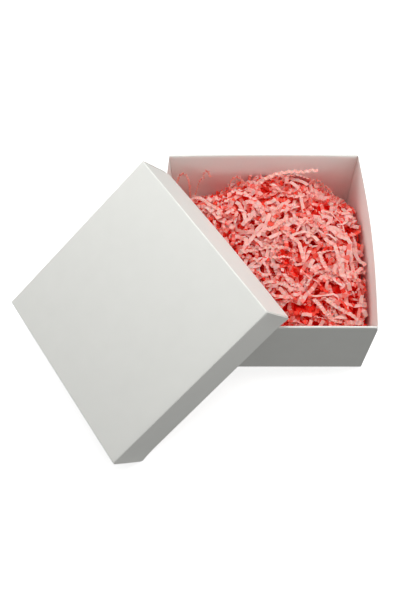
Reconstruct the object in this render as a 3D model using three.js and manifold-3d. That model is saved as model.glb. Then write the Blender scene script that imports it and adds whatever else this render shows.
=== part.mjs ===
// Two-piece paperboard gift box: a deep tray filled with crinkle-cut paper shred,
// and a shallow lid that stands on the table and leans on the tray's front rim.
// Tray and lid are each one folded sheet of board. Their front and back walls roll
// over into double walls, which hold the corner ears of the single left and right walls.
// Every panel between two fold lines is its own solid.
// Millimetres. Origin: centre of the tray's underside. +X right, +Y back, +Z up.

import * as THREE from 'three';
import { mergeVertices } from 'three/addons/utils/BufferGeometryUtils.js';
import Module from 'manifold-3d';

const wasm = await Module();
wasm.setup();

// Board and folds
const board = 0.6;
const foldGap = 0.3;
const doubleWall = 3 * board + 2 * foldGap;
const cornerInset = board + foldGap;

// Tray
const trayWidth = 203;
const trayHeight = 102;
const traySideBows = { left: 4.5, right: 4.5 };
// The fill presses all four walls outwards, most at the rim
const trayRimOutset = 2.6;
const trayEarLength = 58;

// Lid
const slipClearance = 0.4;
const lidWidth = trayWidth + 2 * (doubleWall + slipClearance);
const lidDepth = 52;
const lidSideBows = { left: 0, right: 1.2 };
const lidEarLength = 44;

// Where the lid stands: the middle of its lowest free edge, its turn seen from
// above, and how far its face leans up from level
const lidFootX = -185.9;
const lidFootY = -115.6;
const lidFootZ = 0.1;
const lidHeading = THREE.MathUtils.degToRad(35.6);
const lidTilt = THREE.MathUtils.degToRad(32.28);

// Corner ears
const earTopDrop = 4;
const earTaper = 7;

// Paper shred bed: a mat over an open underside, as light as the real loose fill
const bedCentreHeight = 80;
const bedClearance = 0.6;
const bedShell = 2;
const bedSegments = 26;
const bedDrops = [
  { edge: 'back', drop: 16, reach: 30 },
  { edge: 'front', drop: 16, reach: 34 },
  { edge: 'left', drop: 20, reach: 34 },
  { edge: 'right', drop: 12, reach: 22 },
];
const bedHollows = [
  { x: -68, y: 102, depth: 40, reach: 46 },
  { x: 98, y: 100, depth: 58, reach: 44 },
];
const bedLowest = 17;
const bedLumpHeight = 2.4;
const bedLumpPitch = 38;

// Loose strips that lie on the bed. Each path runs through points given as X, Y and rise above
// the bed. A strip on edge shows its zigzag from above; the others lie flat. Bold ones are
// folded deeper.
const stripWidth = 4;
const stripThickness = 0.2;
const crinkleHeight = 1.3;
const boldCrinkleHeight = 2.4;
const looseStrips = [
  {
    bold: true,
    pitch: 6,
    path: [
      [-27, -12, 4], [-10, -5, 4], [7, -5, 5], [22, -5, 4], [32, -7, 3],
    ],
  },
  {
    bold: true,
    pitch: 6.4,
    path: [
      [-3, 10, 4], [0, 16, 7], [7, 17, 9], [15, 23, 9], [25, 31, 7], [31, 26, 6], [37, 24, 6],
      [41, 29, 6], [49, 30, 5],
    ],
  },
  {
    pitch: 3.2,
    path: [
      [-7, 45, 4], [-1, 39, 3], [4, 26, 3], [8, 18, 3], [13, 6, 3], [19, 2, 2.5],
    ],
  },
  { pitch: 6.4, path: [[17, 20, 3], [26, 9, 4], [34, 1, 6.5], [36, -9, 9], [39, -22, 5]] },
  { pitch: 7, path: [[72, 0, 4], [74, -12, 5], [75, -25, 4], [77, -39, 3]] },
  { pitch: 7, path: [[78, -2, 3], [80, -13, 3], [83, -25, 3], [84, -40, 2.5]] },
  { pitch: 7, path: [[88, 2, 4], [88, -13, 5], [90, -25, 4], [91, -41, 3]] },
  {
    bold: true,
    pitch: 7.6,
    path: [
      [-6, 78, 4], [3, 83, 14], [15, 87, 20], [26, 89, 19], [42, 89, 26], [53, 91, 34],
      [60, 91, 36],
    ],
  },
  {
    onEdge: true,
    bold: true,
    pitch: 4.6,
    path: [
      [51, 81, 9], [60, 83, 21], [66, 77, 19], [72, 75, 18], [77, 63, 7],
    ],
  },
  {
    onEdge: true,
    bold: true,
    pitch: 5,
    path: [
      [-97, 87, 39], [-92, 93, 54], [-87, 92, 54], [-83, 87, 43], [-82, 80, 12],
    ],
  },
  {
    onEdge: true,
    bold: true,
    pitch: 5,
    path: [
      [-76, 82, 13], [-71, 85, 38], [-67, 86, 45], [-66, 91, 55], [-62, 94, 58], [-59, 88, 47],
    ],
  },
  {
    onEdge: true,
    bold: true,
    pitch: 4.6,
    path: [
      [-38, 90, 11], [-34, 88, 24], [-27, 88, 23], [-22, 82, 13], [-15, 71, 6],
    ],
  },
  { pitch: 4.4, path: [[55, -61, 3], [63, -69, 4], [72, -74, 4], [86, -80, 5], [97, -83, 6]] },
  { pitch: 3, path: [[46, -63, 5], [52, -72, 7], [57, -78, 7], [65, -83, 6], [74, -85, 5]] },
  { pitch: 9, path: [[44, -27, 4], [49, -18, 5]] },
  { pitch: 9, path: [[7, -14, 3], [16, -21, 4]] },
  { pitch: 9, path: [[34, -78, 3], [44, -80, 4]] },
  { pitch: 9, path: [[31, -70, 3], [35, -61, 5]] },
  { pitch: 3.2, path: [[-78, 74, 9], [-67, 63, 7], [-54, 49, 4], [-46, 42, 3]] },
  { pitch: 3, path: [[9, -46, 3], [17, -48, 4], [23, -51, 4], [30, -52, 3]] },
  { pitch: 4, path: [[82, 40, 4], [89, 46, 6], [96, 56, 8]] },
  { pitch: 2.8, path: [[7, 41, 3], [14, 46, 4], [24, 47, 4], [35, 49, 3]] },
  { pitch: 2.8, path: [[45, 12, 3], [53, 21, 4], [59, 35, 3]] },
  { pitch: 4.6, path: [[55, -9, 3], [59, -25, 4], [63, -33, 4], [67, -42, 3]] },
];

const whiteBoard = { color: 0xe6e7e3, roughness: 0.62, metalness: 0 };
const pinkPaper = { color: 0xf4877c, roughness: 0.8, metalness: 0 };

function namedMesh(name, geometry, look) {
  const mesh = new THREE.Mesh(geometry, new THREE.MeshStandardMaterial(look));
  mesh.name = name;
  return mesh;
}

// A flat board panel between two corner points, given as [x, y, z]
function boardPanel(name, from, to) {
  const size = to.map((value, axis) => Math.abs(value - from[axis]));
  const mesh = namedMesh(name, new THREE.BoxGeometry(...size), whiteBoard);
  mesh.position.set(...from.map((value, axis) => (value + to[axis]) / 2));
  return mesh;
}

// A standing panel along Y that bulges towards +X or -X, most at the middle of its free edge
function bowedSideWall(name, x, outward, length, height, bow) {
  const geometry = new THREE.BoxGeometry(board, length, height, 1, 16, 6);
  const position = geometry.attributes.position;
  for (let i = 0; i < position.count; i += 1) {
    const along = Math.cos((Math.PI * position.getY(i)) / length);
    const up = position.getZ(i) / height + 0.5;
    position.setX(i, position.getX(i) + outward * bow * along * up);
  }
  geometry.computeVertexNormals();
  const mesh = namedMesh(name, geometry, whiteBoard);
  mesh.position.set(x, 0, height / 2);
  return mesh;
}

// A corner ear: a standing panel whose free end tapers at top and bottom
function cornerEar(name, creaseX, y, towardsCentre, earLength, wallHeight) {
  const low = board + foldGap;
  const high = wallHeight - earTopDrop;
  const tip = towardsCentre * earLength;
  const shape = new THREE.Shape();
  shape.moveTo(0, low);
  shape.lineTo(tip, low + earTaper);
  shape.lineTo(tip, high - earTaper);
  shape.lineTo(0, high);
  shape.closePath();
  const geometry = new THREE.ExtrudeGeometry(shape, { depth: board, bevelEnabled: false });
  const mesh = namedMesh(name, geometry, whiteBoard);
  mesh.rotation.x = Math.PI / 2;
  mesh.position.set(creaseX, y + board / 2, 0);
  return mesh;
}

// One folded half, tray or lid, with its panel at the bottom and its walls standing up.
// frontSide is the sign of Y on which the wall called front stands.
function foldedHalf(prefix, panelName, width, height, frontSide, sideBows, earLength) {
  const half = width / 2;
  const inner = half - cornerInset;
  const group = new THREE.Group();

  group.add(boardPanel(
    `${prefix}_${panelName}`,
    [-inner, -inner, 0],
    [inner, inner, board],
  ));

  for (const [side, sign] of [['front', frontSide], ['back', -frontSide]]) {
    const outer = sign * half;
    const rimInner = sign * (half - doubleWall);
    const wallTop = height - cornerInset;
    group.add(boardPanel(
      `${prefix}_${side}_outer_wall`,
      [-half, outer, 0],
      [half, outer - sign * board, wallTop],
    ));
    group.add(boardPanel(
      `${prefix}_${side}_liner`,
      [-inner, rimInner, cornerInset],
      [inner, rimInner + sign * board, wallTop],
    ));
    group.add(boardPanel(
      `${prefix}_${side}_rim`,
      [-inner, outer, height - board],
      [inner, rimInner, height],
    ));
    for (const [end, direction] of [['left', -1], ['right', 1]]) {
      group.add(cornerEar(
        `${prefix}_${side}_${end}_ear`,
        direction * inner,
        sign * (half - cornerInset - board / 2),
        -direction,
        earLength,
        height,
      ));
    }
  }

  for (const [side, sign] of [['left', -1], ['right', 1]]) {
    const x = sign * (half - board / 2);
    const bow = sideBows[side];
    group.add(bowedSideWall(`${prefix}_${side}_wall`, x, sign, 2 * inner, height, bow));
  }
  return group;
}

// Height of the shred bed at a point inside the tray
function bedHeight(x, y) {
  const wall = trayWidth / 2 - doubleWall;
  const distance = {
    back: wall - y,
    front: wall + y,
    left: wall + x,
    right: wall - x,
  };
  let height = bedCentreHeight;
  for (const hollow of bedHollows) {
    const away = Math.hypot(x - hollow.x, y - hollow.y) / hollow.reach;
    height -= hollow.depth * Math.exp(-1.6 * away * away);
  }
  for (const { edge, drop, reach } of bedDrops) {
    const near = THREE.MathUtils.clamp(1 - distance[edge] / reach, 0, 1);
    height -= drop * near * near * (3 - 2 * near);
  }
  height = Math.max(height, bedLowest);
  const wave = (2 * Math.PI) / bedLumpPitch;
  height += bedLumpHeight * Math.sin(x * wave) * Math.cos(y * wave + 1);
  return height;
}

// A block that fills the tray's floor plan, less an inset, up to the bed's surface less a drop
function bedBlock(inset, drop) {
  const sizeX = trayWidth - 2 * (cornerInset + bedClearance + inset);
  const sizeY = trayWidth - 2 * (doubleWall + bedClearance + inset);
  const floor = board + foldGap - (drop > 0 ? 1 : 0);
  const geometry = new THREE.BoxGeometry(sizeX, sizeY, 2, bedSegments, bedSegments, 1);
  const position = geometry.attributes.position;
  for (let i = 0; i < position.count; i += 1) {
    const surface = bedHeight(position.getX(i), position.getY(i)) - drop;
    position.setZ(i, position.getZ(i) > 0 ? surface : floor);
  }
  return geometry;
}

function toManifold(geometry) {
  const bare = geometry.clone();
  bare.deleteAttribute('normal');
  bare.deleteAttribute('uv');
  const welded = mergeVertices(bare);
  return new wasm.Manifold(new wasm.Mesh({
    numProp: 3,
    vertProperties: new Float32Array(welded.attributes.position.array),
    triVerts: new Uint32Array(welded.index.array),
  }));
}

function fromManifold(solid) {
  const { vertProperties, triVerts } = solid.getMesh();
  const geometry = new THREE.BufferGeometry();
  geometry.setAttribute('position', new THREE.BufferAttribute(vertProperties, 3));
  geometry.setIndex(new THREE.BufferAttribute(triVerts, 1));
  geometry.computeVertexNormals();
  return geometry;
}

function shredBed() {
  const block = toManifold(bedBlock(0, 0));
  const hollow = toManifold(bedBlock(bedShell, bedShell));
  return namedMesh('paper_shred_bed', fromManifold(block.subtract(hollow)), pinkPaper);
}

// Height of the shred bed's highest point below a strip's width
function highestBelow(x, y, turn) {
  const sides = [-stripWidth / 2, 0, stripWidth / 2];
  return Math.max(...sides.map((side) => bedHeight(x - side * Math.sin(turn), y + side * Math.cos(turn))));
}

// An accordion-folded strip: a run of rectangular cross-sections, one at each fold
function crinkledStrip({ onEdge, bold, pitch, path }, index) {
  const route = new THREE.CatmullRomCurve3(path.map((point) => new THREE.Vector3(...point)));
  const folds = Math.max(2, Math.round((2 * route.getLength()) / pitch));
  const corners = [];
  for (let i = 0; i <= folds; i += 1) {
    const place = route.getPointAt(i / folds);
    const tangent = route.getTangentAt(i / folds);
    const turn = Math.atan2(tangent.y, tangent.x);
    const sideways = new THREE.Vector3(-Math.sin(turn), Math.cos(turn), 0);
    const upward = new THREE.Vector3(0, 0, 1);
    const across = onEdge ? upward : sideways;
    const folding = onEdge ? sideways.negate() : upward;
    place.z += highestBelow(place.x, place.y, turn);
    place.addScaledVector(folding, (i % 2 ? 0.5 : -0.5) * (bold ? boldCrinkleHeight : crinkleHeight));
    for (const [width, depth] of [[1, 1], [-1, 1], [-1, -1], [1, -1]]) {
      corners.push(place.clone()
        .addScaledVector(across, (width * stripWidth) / 2)
        .addScaledVector(folding, (depth * stripThickness) / 2));
    }
  }
  const faces = [0, 3, 2, 0, 2, 1];
  for (let i = 0; i < folds; i += 1) {
    for (let side = 0; side < 4; side += 1) {
      const here = 4 * i + side;
      const next = 4 * i + ((side + 1) % 4);
      faces.push(here, next, next + 4, here, next + 4, here + 4);
    }
  }
  const end = 4 * folds;
  faces.push(end, end + 1, end + 2, end, end + 2, end + 3);
  const geometry = new THREE.BufferGeometry().setFromPoints(corners);
  geometry.setIndex(faces);
  const flatShaded = geometry.toNonIndexed();
  flatShaded.computeVertexNormals();
  return namedMesh(`loose_strip_${String(index + 1).padStart(2, '0')}`, flatShaded, pinkPaper);
}

// Leans every panel of a standing box outwards in proportion to its height
function leanOut(box, width, height, rimOutset) {
  for (const mesh of box.children) {
    mesh.updateMatrix();
    mesh.geometry.applyMatrix4(mesh.matrix);
    mesh.position.set(0, 0, 0);
    mesh.rotation.set(0, 0, 0);
    const position = mesh.geometry.attributes.position;
    for (let i = 0; i < position.count; i += 1) {
      const scale = 1 + ((2 * rimOutset) / width) * (position.getZ(i) / height);
      position.setXY(i, position.getX(i) * scale, position.getY(i) * scale);
    }
    mesh.geometry.computeVertexNormals();
  }
  return box;
}

function tray() {
  const box = foldedHalf('tray', 'base_panel', trayWidth, trayHeight, -1, traySideBows, trayEarLength);
  return leanOut(box, trayWidth, trayHeight, trayRimOutset);
}

// The lid is folded like the tray, turned over, then stood on its left free edge
function lid() {
  const folded = foldedHalf('lid', 'top_panel', lidWidth, lidDepth, 1, lidSideBows, lidEarLength);
  folded.rotation.x = Math.PI;
  folded.position.set(lidWidth / 2, 0, lidDepth);
  const leaning = new THREE.Group();
  leaning.add(folded);
  leaning.rotation.set(0, -lidTilt, lidHeading, 'ZYX');
  leaning.position.set(lidFootX, lidFootY, lidFootZ);
  return leaning;
}

const giftBox = new THREE.Group();
giftBox.name = 'jewelry_gift_box';
giftBox.add(tray());
giftBox.add(lid());
giftBox.add(shredBed());
looseStrips.forEach((strip, index) => giftBox.add(crinkledStrip(strip, index)));

export default giftBox;
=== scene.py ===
"""The looks of a paperboard gift box: a tray full of crinkle-cut paper and a lid leaning on it."""

import math

import bpy
import numpy as np
from mathutils import Matrix, Vector


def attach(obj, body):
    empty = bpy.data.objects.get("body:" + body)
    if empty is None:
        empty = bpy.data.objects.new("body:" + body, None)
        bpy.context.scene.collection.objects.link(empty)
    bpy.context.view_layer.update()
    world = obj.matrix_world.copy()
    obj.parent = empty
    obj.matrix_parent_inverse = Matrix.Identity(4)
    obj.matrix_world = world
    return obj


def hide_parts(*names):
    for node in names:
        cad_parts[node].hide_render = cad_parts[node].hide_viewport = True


MM = 0.001

# Folded board, in millimetres. A liner is the inner layer of a double wall. An ear is the tab on the end
# of a side wall, held between the two layers
BOARD = 0.6
FOLD_GAP = 0.3
DOUBLE_WALL = 3 * BOARD + 2 * FOLD_GAP
CORNER_INSET = BOARD + FOLD_GAP
LINER_IN = DOUBLE_WALL - BOARD / 2
EAR_IN = CORNER_INSET + BOARD / 2
EAR_TOP_DROP = 4.0
EAR_TAPER = 7.0
SIDE_CREASE_RADIUS = 0.85
CORNER_RADIUS = 0.35
RIM_RADIUS = 0.86
BASE_CREASE_RADIUS = 0.7
CREASE_CHORDS = 5
BEAD_SIDES = 12
EAR_STEPS = 12
PANEL_STEP = 4.0
TOLERANCE = 0.01
SHARP_ANGLE = 38
# How far a double wall's ends stand off the side walls at the rim, and how far from the corner it starts
TRAY_CORNER_FLARE = 0.3
LID_CORNER_FLARE = 1.3
FLARE_REACH = 20.0
FLARE_RISE_POWER = 0.3

TRAY_WIDTH = 203.0
TRAY_HEIGHT = 102.0
TRAY_SIDE_BOW = 4.5
TRAY_RIM_OUTSET = 2.6
TRAY_BACK_BOW = 1.3
TRAY_EAR = 58.0
BACK_LINER_SLOPE = 3.0
FRONT_LINER_SLOPE = 0.8
LID_LINER_SLOPE = 0.4
LINER_SLOPE_REACH = 28.0

LID_WIDTH = TRAY_WIDTH + 2 * (DOUBLE_WALL + 0.4)
LID_DEPTH = 52.0
LID_RIGHT_BOW = 1.2
LID_EAR = 44.0
LID_FOOT = (-185.9, -115.6, 0.1)
LID_HEADING = 35.6
LID_TILT = 32.28

# Paper shred, in millimetres
STRIP_WIDTH = 4.0
STRIP_THICKNESS = 0.16
# Each kind of strip: its share of all strips, then the lowest and highest of its length, crinkle pitch,
# crinkle height and roll
STRIP_KINDS = (
    (0.36, (16, 55), (2.6, 4.0), (1.1, 1.8), (0.0, 0.8)),
    (0.22, (24, 75), (7.0, 13.0), (0.8, 2.0), (0.0, 0.6)),
    (0.22, (6, 16), (6.0, 14.0), (0.1, 0.6), (0.0, 1.0)),
    (0.20, (14, 50), (2.8, 4.8), (1.3, 2.2), (0.9, 1.57)),
)
PILE_DEPTH = 15.0
PILE_CELL = 1.5
PILE_HALF_X = 99.6
PILE_HALF_Y = 98.2
WALL_BOW_ROOM = 3.0
WALL_GAP = 2.0
BED_CENTRE = 80.0
# How far the bed drops towards each wall, and from how far away
BED_DROPS = (("back", 11, 30), ("front", 16, 34), ("left", 20, 34), ("right", 12, 22))
# Each hollow's middle, depth and reach
BED_HOLLOWS = ((-66, 102, 42, 46), (98, 100, 47, 46))
BED_LOWEST = 17.0
BED_LUMP_HEIGHT = 2.4
BED_LUMP_PITCH = 38.0
CORE_STEPS = 90
CORE_OVERLAP = 2.0
CORE_ROUGHNESS = 0.9
CORE_FOOT = 1.2
MOST_OVERHANG = 8.0
MOST_CLIMB = 9.0
MOST_STRIPS = 2600
PLACES_TRIED = 14
HEADING_WANDER = 0.35
ROLL_WANDER = 0.22
RISE_WANDER = 0.7
WANDER_REACH = 7
# Strips are sorted into layers by their depth below the bed's surface
TOP_LAYER_DEPTH = 3.2
MIDDLE_LAYER_DEPTH = 8.0

# A strip's shade is its place on the ramp of paper colours: 0 is deep in the pile, 1 on its surface
# Painted shade: strips are set darker the deeper they lie below the bed's surface
SHADE_AT_SURFACE = 0.79
# Painted shade: strips towards the front are set darker, as less light reaches them there
FRONT_PAINTED_SHADE = 0.10
SHADE_SPREAD = 0.14
# Painted light and shade: alternate folds are set lighter and darker, as if turned towards and away from
# the light
FOLD_PAINTED_LIGHT_AND_SHADE = 0.07
SHADE_SPREAD_BY_FOLD = 0.05

# The camera, in metres and degrees
CAMERA_PLACE = (-0.0411, -0.4299, 0.7960)
CAMERA_PITCH = 56.404
CAMERA_YAW = 0.825
CAMERA_ROLL = -0.741
CAMERA_LENS = 47.635
CAMERA_SHIFT = (-0.0333, -0.1500)

# The studio's lights, in metres and watts: place, aim, size and power
LIGHTS = {
    "overhead": ((0.2, 0.36, 1.15), (0.0, 0.10, 0.0), (2.2, 0.9), 8.5),
    "from_left": ((-1.0, 0.70, 0.45), (0.05, 0.0, 0.08), (0.5, 0.5), 5.0),
    "from_above": ((0.0, -0.03, 0.75), (0.0, 0.0, 0.08), (1.1, 0.10), 2.1),
    "from_right": ((1.1, -0.35, 0.45), (0.0, -0.1, 0.05), (0.5, 0.5), 2.2),
}
AMBIENT = 0.25
FLOOR_HALF = 40.0
FLOOR_DROP = 0.0003
FLOOR_GLOW = 0.6
# The fill's red glow comes from light that bounces many times between the strips
DIFFUSE_BOUNCES = 10

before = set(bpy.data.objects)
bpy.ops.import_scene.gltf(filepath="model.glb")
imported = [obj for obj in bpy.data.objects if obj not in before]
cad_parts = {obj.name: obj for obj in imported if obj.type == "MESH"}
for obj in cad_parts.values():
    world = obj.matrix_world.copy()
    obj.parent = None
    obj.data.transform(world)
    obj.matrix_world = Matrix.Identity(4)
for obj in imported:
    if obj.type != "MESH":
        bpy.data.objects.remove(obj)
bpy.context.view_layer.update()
rng = np.random.default_rng(41)
shade_rng = np.random.default_rng(7)


# ---------------------------------------------------------------- materials


def new_material(name):
    material = bpy.data.materials.new(name)
    material.use_nodes = True
    tree = material.node_tree
    shader = tree.nodes["Principled BSDF"]
    return material, tree, shader


def noise(tree, scale, detail, stretch=(1, 1, 1)):
    """Noise over the piece's own coordinates, in metres, so that it stays put when the piece moves."""
    where = tree.nodes.new("ShaderNodeTexCoord")
    mapping = tree.nodes.new("ShaderNodeMapping")
    mapping.inputs["Scale"].default_value = stretch
    texture = tree.nodes.new("ShaderNodeTexNoise")
    texture.inputs["Scale"].default_value = scale
    texture.inputs["Detail"].default_value = detail
    tree.links.new(where.outputs["Object"], mapping.inputs["Vector"])
    tree.links.new(mapping.outputs["Vector"], texture.inputs["Vector"])
    return texture.outputs["Fac"]


def ramp(tree, fac, stops):
    node = tree.nodes.new("ShaderNodeValToRGB")
    elements = node.color_ramp.elements
    while len(elements) < len(stops):
        elements.new(0.5)
    for element, (position, colour) in zip(elements, stops):
        element.position = position
        element.color = (*colour, 1)
    tree.links.new(fac, node.inputs["Fac"])
    return node.outputs["Color"]


def spread(tree, fac, low, high):
    node = tree.nodes.new("ShaderNodeMapRange")
    node.inputs["From Min"].default_value = 0.3
    node.inputs["From Max"].default_value = 0.7
    node.inputs["To Min"].default_value = low
    node.inputs["To Max"].default_value = high
    tree.links.new(fac, node.inputs["Value"])
    return node.outputs["Result"]


def bump(tree, height, strength, distance):
    node = tree.nodes.new("ShaderNodeBump")
    node.inputs["Strength"].default_value = strength
    node.inputs["Distance"].default_value = distance
    tree.links.new(height, node.inputs["Height"])
    return node.outputs["Normal"]


def board_material(name, light, dark, rough, grain):
    """White paperboard: a cloudy sheet with fine fibres along its grain and an uneven coat."""
    material, tree, shader = new_material(name)
    cloud = noise(tree, 55, 3)
    fibre = noise(tree, 1500, 4, (1, 0.25, 1))
    mixed = tree.nodes.new("ShaderNodeMath")
    mixed.operation = "MULTIPLY_ADD"
    mixed.inputs[1].default_value = grain
    tree.links.new(fibre, mixed.inputs[0])
    tree.links.new(cloud, mixed.inputs[2])
    colour = ramp(tree, mixed.outputs[0], ((0.3, dark), (0.95, light)))
    tree.links.new(colour, shader.inputs["Base Color"])
    tree.links.new(spread(tree, fibre, rough - 0.06, rough + 0.06), shader.inputs["Roughness"])
    tree.links.new(bump(tree, fibre, 0.10, 0.00006), shader.inputs["Normal"])
    return material


def paper_material(name, stops, by_attribute):
    """Dyed tissue-weight paper with fine fibres: colour by strip and depth, the darkening with depth
    being painted shade.
    """
    material, tree, shader = new_material(name)
    fibre = noise(tree, 1900, 3)
    cloud = noise(tree, 160, 2)
    if by_attribute:
        shade = tree.nodes.new("ShaderNodeAttribute")
        shade.attribute_name = "shade"
        source = shade.outputs["Fac"]
    else:
        source = cloud
    mixed = tree.nodes.new("ShaderNodeMath")
    mixed.operation = "MULTIPLY_ADD"
    mixed.inputs[1].default_value = 0.10
    tree.links.new(fibre, mixed.inputs[0])
    tree.links.new(source, mixed.inputs[2])
    tree.links.new(ramp(tree, mixed.outputs[0], stops), shader.inputs["Base Color"])
    tree.links.new(spread(tree, cloud, 0.55, 0.78), shader.inputs["Roughness"])
    shader.inputs["Specular IOR Level"].default_value = 0.08
    shader.inputs["Subsurface Weight"].default_value = 0.7
    shader.inputs["Subsurface Radius"].default_value = (1.0, 0.35, 0.25)
    shader.inputs["Subsurface Scale"].default_value = 0.0006
    tree.links.new(bump(tree, fibre, 0.15, 0.00005), shader.inputs["Normal"])
    return material


BOARD_FACE = board_material(
    "white_board_face", light=(0.865, 0.87, 0.83), dark=(0.84, 0.845, 0.805), rough=0.52, grain=0.35
)
BOARD_EDGE = board_material(
    "white_board_cut_edge", light=(0.92, 0.92, 0.90), dark=(0.82, 0.82, 0.79), rough=0.85, grain=0.9
)
# The strips' colours: the deep reds at the low end are painted shade for strips deep in the pile, and
# the pale pink at the top is the paper at the surface
SHRED_TONE_AND_PAINTED_SHADE_STOPS = (
    (0.0, (0.98, 0.006, 0.002)),
    (0.35, (0.99, 0.020, 0.010)),
    (0.7, (0.99, 0.095, 0.062)),
    (1.0, (0.985, 0.52, 0.47)),
)
SHRED_PAPER = paper_material("pink_shred_paper", SHRED_TONE_AND_PAINTED_SHADE_STOPS, True)
LOOSE_PAPER = paper_material(
    "pink_loose_strip_paper", ((0.3, (0.93, 0.38, 0.32)), (0.8, (0.97, 0.58, 0.53))), False
)
# Painted shade: the hidden core is coloured a dark deep red to stand for the shaded depths of the pile
CORE_PAPER = paper_material(
    "pink_shred_shadowed_paper", ((0.3, (0.96, 0.005, 0.002)), (0.8, (0.98, 0.014, 0.007))), False
)


# ---------------------------------------------------------------- board sheets


def transform(points, matrix):
    flat = np.asarray(points, float).reshape(-1, 3)
    turned = flat @ np.array(matrix.to_3x3()).T + np.array(matrix.translation)
    return turned.reshape(np.shape(points))


def leaned(points):
    """The tray's points, pressed outwards by the fill in proportion to their height."""
    scale = 1 + TRAY_RIM_OUTSET / (TRAY_WIDTH / 2) * points[:, 2:] / TRAY_HEIGHT
    return np.concatenate([points[:, :2] * scale, points[:, 2:]], axis=1)


def shell_from_grid(grid, thickness):
    """Vertices, faces and edge-face flags of the closed solid around this mid-surface."""
    along = np.gradient(grid, axis=0)
    across = np.gradient(grid, axis=1)
    normal = np.cross(along, across)
    normal /= np.linalg.norm(normal, axis=2, keepdims=True)
    rows, columns = grid.shape[:2]
    top = (grid + normal * thickness / 2).reshape(-1, 3)
    bottom = (grid - normal * thickness / 2).reshape(-1, 3)
    under = rows * columns
    index = np.arange(under).reshape(rows, columns)
    faces, is_edge = [], []
    a, b = index[:-1, :-1].ravel(), index[1:, :-1].ravel()
    c, d = index[1:, 1:].ravel(), index[:-1, 1:].ravel()
    for quad in zip(a, b, c, d):
        faces.append(tuple(int(i) for i in quad))
        faces.append(tuple(int(i) + under for i in reversed(quad)))
        is_edge += [0, 0]
    ring = np.concatenate([index[0, :-1], index[:-1, -1], index[-1, :0:-1], index[:0:-1, 0]])
    for here, there in zip(ring, np.roll(ring, -1)):
        faces.append((int(here), int(there), int(there) + under, int(here) + under))
        is_edge.append(1)
    return np.concatenate([top, bottom]), faces, is_edge


def joined(shells):
    points, faces, flags = [], [], []
    for shell_points, shell_faces, shell_flags in shells:
        base = sum(len(p) for p in points)
        points.append(shell_points)
        faces += [tuple(i + base for i in face) for face in shell_faces]
        flags += shell_flags
    return np.concatenate(points), faces, flags


def add_piece(name, shells, body, materials, replaced, matrix=Matrix.Identity(4)):
    points, faces, flags = joined(shells)
    if body == "tray":
        points = leaned(points)
    mesh = bpy.data.meshes.new(name)
    mesh.from_pydata((transform(points, matrix) * MM).tolist(), [], faces)
    for material in materials:
        mesh.materials.append(material)
    mesh.polygons.foreach_set("material_index", np.minimum(flags, len(materials) - 1).astype(np.int32))
    mesh.polygons.foreach_set("use_smooth", np.ones(len(faces), bool))
    mesh.set_sharp_from_angle(angle=math.radians(SHARP_ANGLE))
    mesh.update()
    piece = bpy.data.objects.new(name, mesh)
    bpy.context.scene.collection.objects.link(piece)
    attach(piece, body)
    if replaced:
        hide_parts(*replaced)
    return piece


def filleted(points, radii, step):
    """A dense line through 2-D points, each inner corner rounded to its radius."""
    points = [np.array(p, float) for p in points]
    line = [points[0]]

    def run_to(target):
        start = line[-1]
        count = max(1, int(np.ceil(np.linalg.norm(target - start) / step)))
        for k in range(1, count + 1):
            line.append(start + (target - start) * k / count)

    for before, corner, after, radius in zip(points, points[1:], points[2:], radii):
        back = (before - corner) / np.linalg.norm(before - corner)
        ahead = (after - corner) / np.linalg.norm(after - corner)
        half = math.acos(np.clip(back @ ahead, -1, 1)) / 2
        reach = radius / math.tan(half)
        run_to(corner + back * reach)
        centre = corner + (back + ahead) / np.linalg.norm(back + ahead) * radius / math.sin(half)
        first, last = line[-1] - centre, corner + ahead * reach - centre
        turn = math.atan2(first[0] * last[1] - first[1] * last[0], first @ last)
        for k in range(1, CREASE_CHORDS + 1):
            angle = turn * k / CREASE_CHORDS
            c, s = math.cos(angle), math.sin(angle)
            line.append(centre + np.array([c * first[0] - s * first[1], s * first[0] + c * first[1]]))
    run_to(points[-1])
    return np.array(line)


def stations(half_width, step=PANEL_STEP):
    return np.linspace(-half_width, half_width, int(2 * half_width / step) + 1)


def smooth_min(a, b, softness):
    return -softness * np.log(np.exp(-a / softness) + np.exp(-b / softness))


def liner_slope(x, z, width, height, depth):
    """How far a liner stands in: it hinges inward from its top corners along two diagonal lines."""
    below_rim = np.maximum(height - z, 0)
    from_corner = np.maximum(width / 2 - np.abs(x), 0) * 0.75
    near = np.maximum(smooth_min(below_rim, from_corner, 2.0), 0)
    bulge = np.minimum(near / LINER_SLOPE_REACH, 1)
    return depth * bulge * (1 - 0.5 * np.clip(below_rim / LINER_SLOPE_REACH - 1, 0, 1))


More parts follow.
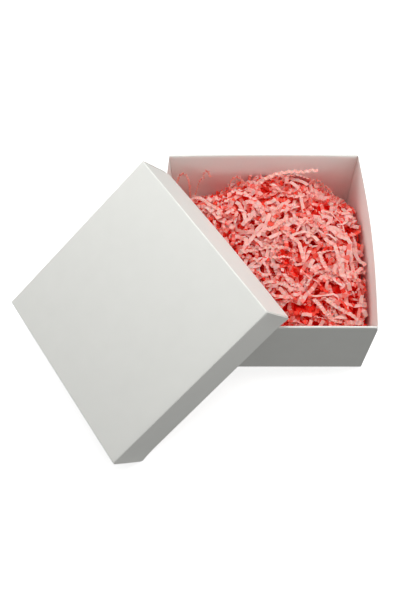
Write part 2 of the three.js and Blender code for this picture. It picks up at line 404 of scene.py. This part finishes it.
def cross_sheet(width, height, with_liners, back_bow, slopes, corner_flare):
    """The sheet that makes the panel, both double walls and both rims, as one folded strip."""
    outer = width / 2 - BOARD / 2
    inner = width / 2 - LINER_IN
    top, low = height - BOARD / 2, BOARD / 2
    middle = [(-inner, top), (-outer, top), (-outer, low), (outer, low), (outer, top), (inner, top)]
    radii = [RIM_RADIUS, BASE_CREASE_RADIUS, BASE_CREASE_RADIUS, RIM_RADIUS]
    if with_liners:
        middle = [(-inner, CORNER_INSET)] + middle + [(inner, CORNER_INSET)]
        radii = [RIM_RADIUS] + radii + [RIM_RADIUS]
    line = filleted(middle, radii, PANEL_STEP)
    unit = stations(1.0, PANEL_STEP / (width / 2))
    y, z = line[:, :1], line[:, 1:]
    on_outer_wall = (np.abs(y) > outer - TOLERANCE) & (z < top - RIM_RADIUS)
    on_outer_wall &= z > low + BASE_CREASE_RADIUS - TOLERANCE
    reach = np.where(on_outer_wall, width / 2, width / 2 - CORNER_INSET)
    x = reach * unit[None, :]
    y, z = np.broadcast_arrays(y + 0 * x, z + 0 * x)
    rise = np.clip(z / height, 0, 1)
    bowed = back_bow * np.cos(np.pi * x / width) * rise * (y > width / 4)
    is_liner = (np.abs(y) < inner + TOLERANCE) & (z > low + TOLERANCE)
    slope = np.where(y > 0, slopes[1], slopes[0])
    inward = liner_slope(x, z, width, height, 1.0) * slope * is_liner
    near_end = np.clip((np.abs(x) - width / 2 + FLARE_REACH) / FLARE_REACH, 0, 1)
    stands_up = (np.abs(y) > inner + 2 * TOLERANCE) & (z > low + BASE_CREASE_RADIUS - TOLERANCE)
    flare = np.sign(y) * corner_flare * near_end**2 * rise**FLARE_RISE_POWER * stands_up
    return shell_from_grid(np.stack([x, y + bowed + flare - np.sign(y) * inward, z], axis=2), BOARD)


def side_sheet(width, height, sign, bow):
    """A single side wall: its base crease, its bowed panel, and both rounded corners."""
    wall, end = width / 2 - BOARD / 2, width / 2 - EAR_IN
    plan = filleted(
        [(wall - 2 * CORNER_RADIUS, -end), (wall, -end), (wall, end), (wall - 2 * CORNER_RADIUS, end)],
        [CORNER_RADIUS, CORNER_RADIUS],
        PANEL_STEP,
    )
    rows = []
    floor = BOARD / 2 + SIDE_CREASE_RADIUS
    for angle in np.linspace(math.pi / 2, 0.35, 4):
        drop = SIDE_CREASE_RADIUS * (1 - math.cos(angle))
        rows.append((drop, floor - SIDE_CREASE_RADIUS * math.sin(angle)))
    rows += [(0.0, z) for z in np.linspace(floor, height, int(height / PANEL_STEP) + 2)]
    grid = []
    for inward, z in rows:
        out = bow * np.cos(np.pi * plan[:, 1] / (2 * (width / 2 - CORNER_INSET))) * z / height
        grid.append(np.stack([sign * (plan[:, 0] - inward + out), plan[:, 1], 0 * out + z], axis=1))
    grid = np.array(grid)
    return shell_from_grid(grid if sign > 0 else grid[:, ::-1], BOARD)


def ear_sheet(width, height, sign, end_sign, length):
    """The tab on the end of a side wall, narrowing to its tip."""
    start = width / 2 - BOARD / 2 - 2 * CORNER_RADIUS - 0.02
    y = end_sign * (width / 2 - EAR_IN)
    share = np.linspace(0, 1, EAR_STEPS)
    low = CORNER_INSET + EAR_TAPER * share
    high = height - EAR_TOP_DROP - EAR_TAPER * share
    up = np.linspace(0, 1, EAR_STEPS)[:, None]
    z = low + (high - low) * up
    x = np.broadcast_to(sign * (start - length * share), z.shape)
    grid = np.stack([x, np.full(z.shape, y), z], axis=2)
    return shell_from_grid(grid, BOARD)


def crease_bead(width, height, end_sign):
    """The rounded crease that the lid's liner turns about, flush with the rim and the liner."""
    angles = np.linspace(0, 2 * np.pi, BEAD_SIDES + 1)[:-1]
    x = stations(width / 2 - CORNER_INSET)
    y, z = end_sign * (width / 2 - LINER_IN), height - BOARD / 2
    points, faces = [], []
    for value in x:
        points += [(value, y + BOARD / 2 * math.cos(a), z + BOARD / 2 * math.sin(a)) for a in angles]
    n = len(angles)
    for k in range(len(x) - 1):
        for i in range(n):
            j = (i + 1) % n
            faces.append((k * n + i, (k + 1) * n + i, (k + 1) * n + j, k * n + j))
    faces.append(tuple(range(n)))
    faces.append(tuple((len(x) - 1) * n + i for i in reversed(range(n))))
    return np.array(points), faces, [0] * len(faces)


def liner_sheet(width, height, end_sign, slope):
    """The lid's liner as a sheet of its own, from its crease down to the panel."""
    x = stations(width / 2 - CORNER_INSET)
    z = np.linspace(height - BOARD / 2, CORNER_INSET, int(height / PANEL_STEP) + 2)
    x, z = np.meshgrid(x, z)
    inward = liner_slope(x, z, width, height, slope) * np.clip((height - z) / 3, 0, 1)
    y = end_sign * (width / 2 - LINER_IN - inward)
    return shell_from_grid(np.stack([x, y, z], axis=2), BOARD)


def lid_matrix():
    """From the lid lying open side up at the origin to where it leans."""
    folded = Matrix.Translation((LID_WIDTH / 2, 0, LID_DEPTH)) @ Matrix.Rotation(math.pi, 4, "X")
    turn = Matrix.Rotation(math.radians(LID_HEADING), 4, "Z")
    tilt = Matrix.Rotation(-math.radians(LID_TILT), 4, "Y")
    return Matrix.Translation(LID_FOOT) @ turn @ tilt @ folded


BOARD_LOOK = (BOARD_FACE, BOARD_EDGE)


def build_half(
    prefix,
    panel,
    width,
    height,
    bows,
    ear,
    matrix,
    with_liners,
    back_bow,
    slopes,
    corner_flare,
    front_sign,
):
    """The tray or the lid. The lid's liners turn about their creases, so each is its own piece."""
    sides = ("front", "back")
    kinds = ("outer_wall", "rim") + (("liner",) if with_liners else ())
    shells = [cross_sheet(width, height, with_liners, back_bow, slopes, corner_flare)]
    if not with_liners:
        shells += [crease_bead(width, height, end) for end in (-1, 1)]
    replaced = [f"{prefix}_{panel}"] + [f"{prefix}_{side}_{kind}" for side in sides for kind in kinds]
    add_piece(f"{prefix}_folded_board", shells, prefix, BOARD_LOOK, replaced, matrix)
    for side, sign in (("left", -1), ("right", 1)):
        shells = [side_sheet(width, height, sign, bows[side])]
        shells += [ear_sheet(width, height, sign, end, ear) for end in (-1, 1)]
        replaced = [f"{prefix}_{side}_wall"] + [f"{prefix}_{end}_{side}_ear" for end in sides]
        name = f"{prefix}_{side}_wall_with_ears"
        add_piece(name, shells, prefix, BOARD_LOOK, replaced, matrix)
    if not with_liners:
        for side, sign in (("front", front_sign), ("back", -front_sign)):
            add_piece(
                f"{prefix}_{side}_liner_board",
                [liner_sheet(width, height, sign, LID_LINER_SLOPE)],
                f"{prefix}_{side}_liner_flap",
                BOARD_LOOK,
                [f"{prefix}_{side}_liner"],
                matrix,
            )


build_half(
    "tray", "base_panel", TRAY_WIDTH, TRAY_HEIGHT, {"left": TRAY_SIDE_BOW, "right": TRAY_SIDE_BOW},
    TRAY_EAR, Matrix.Identity(4), True, TRAY_BACK_BOW, (FRONT_LINER_SLOPE, BACK_LINER_SLOPE),
    TRAY_CORNER_FLARE, -1,
)
build_half(
    "lid", "top_panel", LID_WIDTH, LID_DEPTH, {"left": 0.0, "right": LID_RIGHT_BOW},
    LID_EAR, lid_matrix(), False, 0.0, (0.0, 0.0), LID_CORNER_FLARE, 1,
)


# ---------------------------------------------------------------- paper shred


def bed_height(x, y):
    """The surface of the heap of shred: a lumpy level that drops at the walls and into two hollows."""
    distance = {"back": TRAY_WIDTH / 2 - DOUBLE_WALL - y, "front": TRAY_WIDTH / 2 - DOUBLE_WALL + y}
    distance["left"] = TRAY_WIDTH / 2 - DOUBLE_WALL + x
    distance["right"] = TRAY_WIDTH / 2 - DOUBLE_WALL - x
    height = BED_CENTRE + 0 * (x + y)
    for edge, drop, reach in BED_DROPS:
        near = np.clip(1 - distance[edge] / reach, 0, 1)
        height = height - drop * near * near * (3 - 2 * near)
    for hollow_x, hollow_y, depth, reach in BED_HOLLOWS:
        away = np.hypot(x - hollow_x, y - hollow_y) / reach
        height = height - depth * np.exp(-1.6 * away * away)
    height = np.maximum(height, BED_LOWEST)
    wave = 2 * np.pi / BED_LUMP_PITCH
    return height + BED_LUMP_HEIGHT * np.sin(x * wave) * np.cos(y * wave + 1)


class Pile:
    """How high the paper stands so far, over a grid of the tray's floor plan."""

    def __init__(self):
        x = np.arange(-PILE_HALF_X, PILE_HALF_X + PILE_CELL, PILE_CELL)
        y = np.arange(-PILE_HALF_Y, PILE_HALF_Y + PILE_CELL, PILE_CELL)
        self.x, self.y = np.meshgrid(x, y, indexing="ij")
        self.target = bed_height(self.x, self.y)
        self.top = self.target - PILE_DEPTH

    def cells(self, x, y):
        i = np.clip(np.round((x + PILE_HALF_X) / PILE_CELL).astype(int), 0, self.top.shape[0] - 1)
        j = np.clip(np.round((y + PILE_HALF_Y) / PILE_CELL).astype(int), 0, self.top.shape[1] - 1)
        return i, j

    def lowest(self, tries):
        """The emptiest of some random places, and how far it is short of the heap's surface."""
        x = rng.uniform(-PILE_HALF_X + 3, PILE_HALF_X - 3, tries)
        y = rng.uniform(-PILE_HALF_Y + 3, PILE_HALF_Y - 3, tries)
        i, j = self.cells(x, y)
        short = self.target[i, j] - self.top[i, j]
        best = int(np.argmax(short))
        return x[best], y[best], short[best]

    def rest(self, x, y):
        """The height of the line that a springy strip takes over what lies below it."""
        i, j = self.cells(x, y)
        below = self.top[i, j]
        padded = np.pad(below, 4, mode="edge")
        highest = np.max([padded[k : k + len(below)] for k in range(9)], axis=0)
        padded = np.pad(highest, 6, mode="edge")
        return np.mean([padded[k : k + len(below)] for k in range(13)], axis=0) * 0.75 + below * 0.25

    def add(self, line, across, lift):
        """Raises the pile under a strip that has been laid."""
        for share in (-0.42, 0, 0.42):
            i, j = self.cells(line[:, 0] + across[:, 0] * share, line[:, 1] + across[:, 1] * share)
            np.maximum.at(self.top, (i, j), line[:, 2] + lift)


def strip_shell(line, heading, roll, offsets):
    """A strip with sharp accordion folds, each as far off its middle line as its offset says."""
    tangent = np.gradient(line, axis=0)
    tangent /= np.linalg.norm(tangent, axis=1, keepdims=True)
    flat = np.stack([-np.sin(heading), np.cos(heading), 0 * heading], axis=1)
    flat -= tangent * np.sum(flat * tangent, axis=1, keepdims=True)
    flat /= np.linalg.norm(flat, axis=1, keepdims=True)
    up = np.cross(tangent, flat)
    c, s = np.cos(roll)[:, None], np.sin(roll)[:, None]
    across, out = c * flat + s * up, c * up - s * flat
    folded = line + out * offsets[:, None]
    half = across * STRIP_WIDTH / 2
    grid = np.stack([folded - half, folded + half], axis=1)
    return shell_from_grid(grid, STRIP_THICKNESS), across * STRIP_WIDTH


def wandering(count, size):
    """A smooth random walk of this many values around zero."""
    steps = rng.normal(0, 1, count + 2 * WANDER_REACH)
    kernel = np.hanning(2 * WANDER_REACH + 1)
    return size * np.convolve(steps, kernel / np.sqrt(np.sum(kernel**2)), "valid")[:count]


def strip_line(x, y, length, spacing):
    """A strip's middle line in plan, curling at random through (x, y), and its heading."""
    count = max(6, int(length / spacing))
    heading = rng.uniform(0, 2 * np.pi) + rng.normal(0, 0.6) * np.linspace(-1, 1, count)
    heading = heading + wandering(count, HEADING_WANDER)
    steps = spacing * np.stack([np.cos(heading), np.sin(heading)], axis=1)
    path = np.cumsum(steps, axis=0)
    return path - path[count // 2] + (x, y), heading


def climb_walls(path, z):
    """What would pass through a wall turns up along it instead."""
    wall = PILE_HALF_X - WALL_GAP + WALL_BOW_ROOM * np.cos(np.pi * path[:, 1] / TRAY_WIDTH)
    end = PILE_HALF_Y - WALL_GAP
    excess_x = np.maximum(np.abs(path[:, 0]) - wall, 0)
    excess_y = np.maximum(np.abs(path[:, 1]) - end, 0)
    x = np.clip(path[:, 0], -wall, wall)
    y = np.clip(path[:, 1], -end, end)
    return np.stack([x, y, z + 0.6 * (excess_x + excess_y)], axis=1), excess_x + excess_y


def strip_shades(y, depth, folds, quads):
    """One shade per face of a strip: painted shade with depth and towards the front, plus random tone by
    strip and by fold. Its folds lighten and darken by turns as painted light and shade, and its cut
    edges are even.
    """
    to_front = np.clip(-y / PILE_HALF_Y, 0, 1)
    shade = SHADE_AT_SURFACE - depth / PILE_DEPTH - FRONT_PAINTED_SHADE * to_front
    shade += rng.normal(0, SHADE_SPREAD)
    by_fold = shade + shade_rng.normal(0, SHADE_SPREAD_BY_FOLD, folds)
    by_fold += FOLD_PAINTED_LIGHT_AND_SHADE * np.where(np.arange(folds) % 2, 1, -1)
    edges = np.full(quads - 2 * folds, shade)
    return np.clip(np.concatenate([np.repeat(by_fold, 2), edges]), 0.02, 1.0)


def fill_tray():
    """Lays strips in the lowest of a few random places, over and over, until the pile is full."""
    pile = Pile()
    layers = {"low": [], "middle": [], "top": []}
    for _ in range(MOST_STRIPS):
        x, y, short = pile.lowest(PLACES_TRIED)
        if short < 1.0:
            break
        kind = rng.choice(len(STRIP_KINDS), p=[share for share, *_ in STRIP_KINDS])
        _, lengths, pitches, heights, rolls = STRIP_KINDS[kind]
        length = rng.uniform(*lengths)
        spacing = rng.uniform(*pitches) / 2
        path, heading = strip_line(x, y, length, spacing)
        z = pile.rest(path[:, 0], path[:, 1]) + 0.5
        line, excess = climb_walls(path, z)
        if excess.max() > MOST_CLIMB:
            continue
        count = len(line)
        roll = rng.uniform(*rolls) * rng.choice((-1, 1))
        roll = roll + wandering(count, ROLL_WANDER)
        line[:, 2] += 0.42 * STRIP_WIDTH * np.abs(np.sin(roll)) + wandering(count, RISE_WANDER)
        line[:, 2] += rng.uniform(0, 5) * np.linspace(0, 1, count) ** 2 * min(1, length / 20)
        if np.max(line[:, 2] - bed_height(line[:, 0], line[:, 1])) > MOST_OVERHANG:
            continue
        height = rng.uniform(*heights)
        offsets = height / 2 * rng.uniform(0.55, 1.25, count) * np.where(np.arange(count) % 2, 1, -1)
        shell, across = strip_shell(line, heading, roll, offsets)
        pile.add(line, across, 0.5 * height + 0.25 * STRIP_WIDTH * np.abs(np.sin(roll)))
        depth = float(np.mean(bed_height(line[:, 0], line[:, 1]) - line[:, 2]))
        shades = strip_shades(y, depth, count - 1, len(shell[1]))
        layer = "top" if depth < TOP_LAYER_DEPTH else "middle" if depth < MIDDLE_LAYER_DEPTH else "low"
        layers[layer].append((shell, shades))
    for layer, strips in layers.items():
        shells = [shell for shell, _ in strips]
        piece = add_piece(f"shred_{layer}_strips", shells, "tray", (SHRED_PAPER,), ())
        values = np.concatenate([shade for _, shade in strips])
        # The shade attribute carries the painted shade and light, together with the paper's random tone,
        # to the strips' material
        attribute = piece.data.attributes.new("shade", "FLOAT", "FACE")
        attribute.data.foreach_set("value", values.astype(np.float32))


def shred_core():
    """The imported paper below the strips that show, as a crumpled mound on the tray's floor."""
    count = CORE_STEPS
    along = np.linspace(-PILE_HALF_X, PILE_HALF_X, count)
    across = np.linspace(-PILE_HALF_Y, PILE_HALF_Y, count)
    x, y = np.meshgrid(along, across, indexing="ij")
    z = bed_height(x, y) - PILE_DEPTH + CORE_OVERLAP + rng.normal(0, CORE_ROUGHNESS, x.shape)
    top = np.stack([x, y, z], axis=2).reshape(-1, 3)
    low = np.stack([x, y, 0 * z + CORE_FOOT], axis=2).reshape(-1, 3)
    index = np.arange(count * count).reshape(count, count)
    under = count * count
    faces = []
    for i in range(count - 1):
        for j in range(count - 1):
            around = (index[i, j], index[i + 1, j], index[i + 1, j + 1], index[i, j + 1])
            quad = tuple(int(k) for k in around)
            faces.append(quad)
            faces.append(tuple(k + under for k in reversed(quad)))
    ring = np.concatenate([index[0, :-1], index[:-1, -1], index[-1, :0:-1], index[:0:-1, 0]])
    for here, there in zip(ring, np.roll(ring, -1)):
        faces.append((int(here), int(there), int(there) + under, int(here) + under))
    shell = (np.concatenate([top, low]), faces, [0] * len(faces))
    add_piece("shred_packed_core", [shell], "tray", (CORE_PAPER,), ("paper_shred_bed",))


fill_tray()
shred_core()
for name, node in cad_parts.items():
    if name.startswith("loose_strip"):
        node.data.materials.clear()
        node.data.materials.append(LOOSE_PAPER)


# ---------------------------------------------------------------- stage, light and camera


def soft_box(name, place, aim, size, power):
    data = bpy.data.lights.new(name, "AREA")
    data.shape = "RECTANGLE"
    data.size, data.size_y = size
    data.energy = power
    light = bpy.data.objects.new(name, data)
    light.location = place
    light.rotation_euler = (Vector(aim) - Vector(place)).to_track_quat("-Z", "Y").to_euler()
    bpy.context.scene.collection.objects.link(light)


def pale_floor():
    material, _, shader = new_material("pale_floor")
    shader.inputs["Base Color"].default_value = (0.92, 0.92, 0.92, 1)
    shader.inputs["Roughness"].default_value = 0.9
    shader.inputs["Emission Color"].default_value = (1, 1, 1, 1)
    shader.inputs["Emission Strength"].default_value = FLOOR_GLOW
    mesh = bpy.data.meshes.new("floor")
    signs = ((-1, -1), (1, -1), (1, 1), (-1, 1))
    corners = [(x * FLOOR_HALF, y * FLOOR_HALF, -FLOOR_DROP) for x, y in signs]
    mesh.from_pydata(corners, [], [(0, 1, 2, 3)])
    mesh.materials.append(material)
    floor = bpy.data.objects.new("floor", mesh)
    floor.visible_diffuse = False
    floor.visible_glossy = False
    bpy.context.scene.collection.objects.link(floor)


def set_camera():
    data = bpy.data.cameras.new("camera")
    data.lens = CAMERA_LENS
    data.sensor_width = 36
    data.shift_x, data.shift_y = CAMERA_SHIFT
    camera = bpy.data.objects.new("camera", data)
    yaw = Matrix.Rotation(math.radians(CAMERA_YAW), 4, "Z")
    pitch = Matrix.Rotation(math.radians(90 - CAMERA_PITCH), 4, "X")
    roll = Matrix.Rotation(math.radians(CAMERA_ROLL), 4, "Z")
    camera.matrix_world = Matrix.Translation(CAMERA_PLACE) @ yaw @ pitch @ roll
    bpy.context.scene.collection.objects.link(camera)
    bpy.context.scene.camera = camera


world = bpy.data.worlds.new("studio")
world.use_nodes = True
world.node_tree.nodes["Background"].inputs["Color"].default_value = (1, 1, 1, 1)
world.node_tree.nodes["Background"].inputs["Strength"].default_value = AMBIENT
bpy.context.scene.world = world
bpy.context.scene.view_settings.view_transform = "Standard"
bpy.context.scene.cycles.diffuse_bounces = DIFFUSE_BOUNCES
for name, (place, aim, size, power) in LIGHTS.items():
    soft_box(name, place, aim, size, power)
pale_floor()
set_camera()
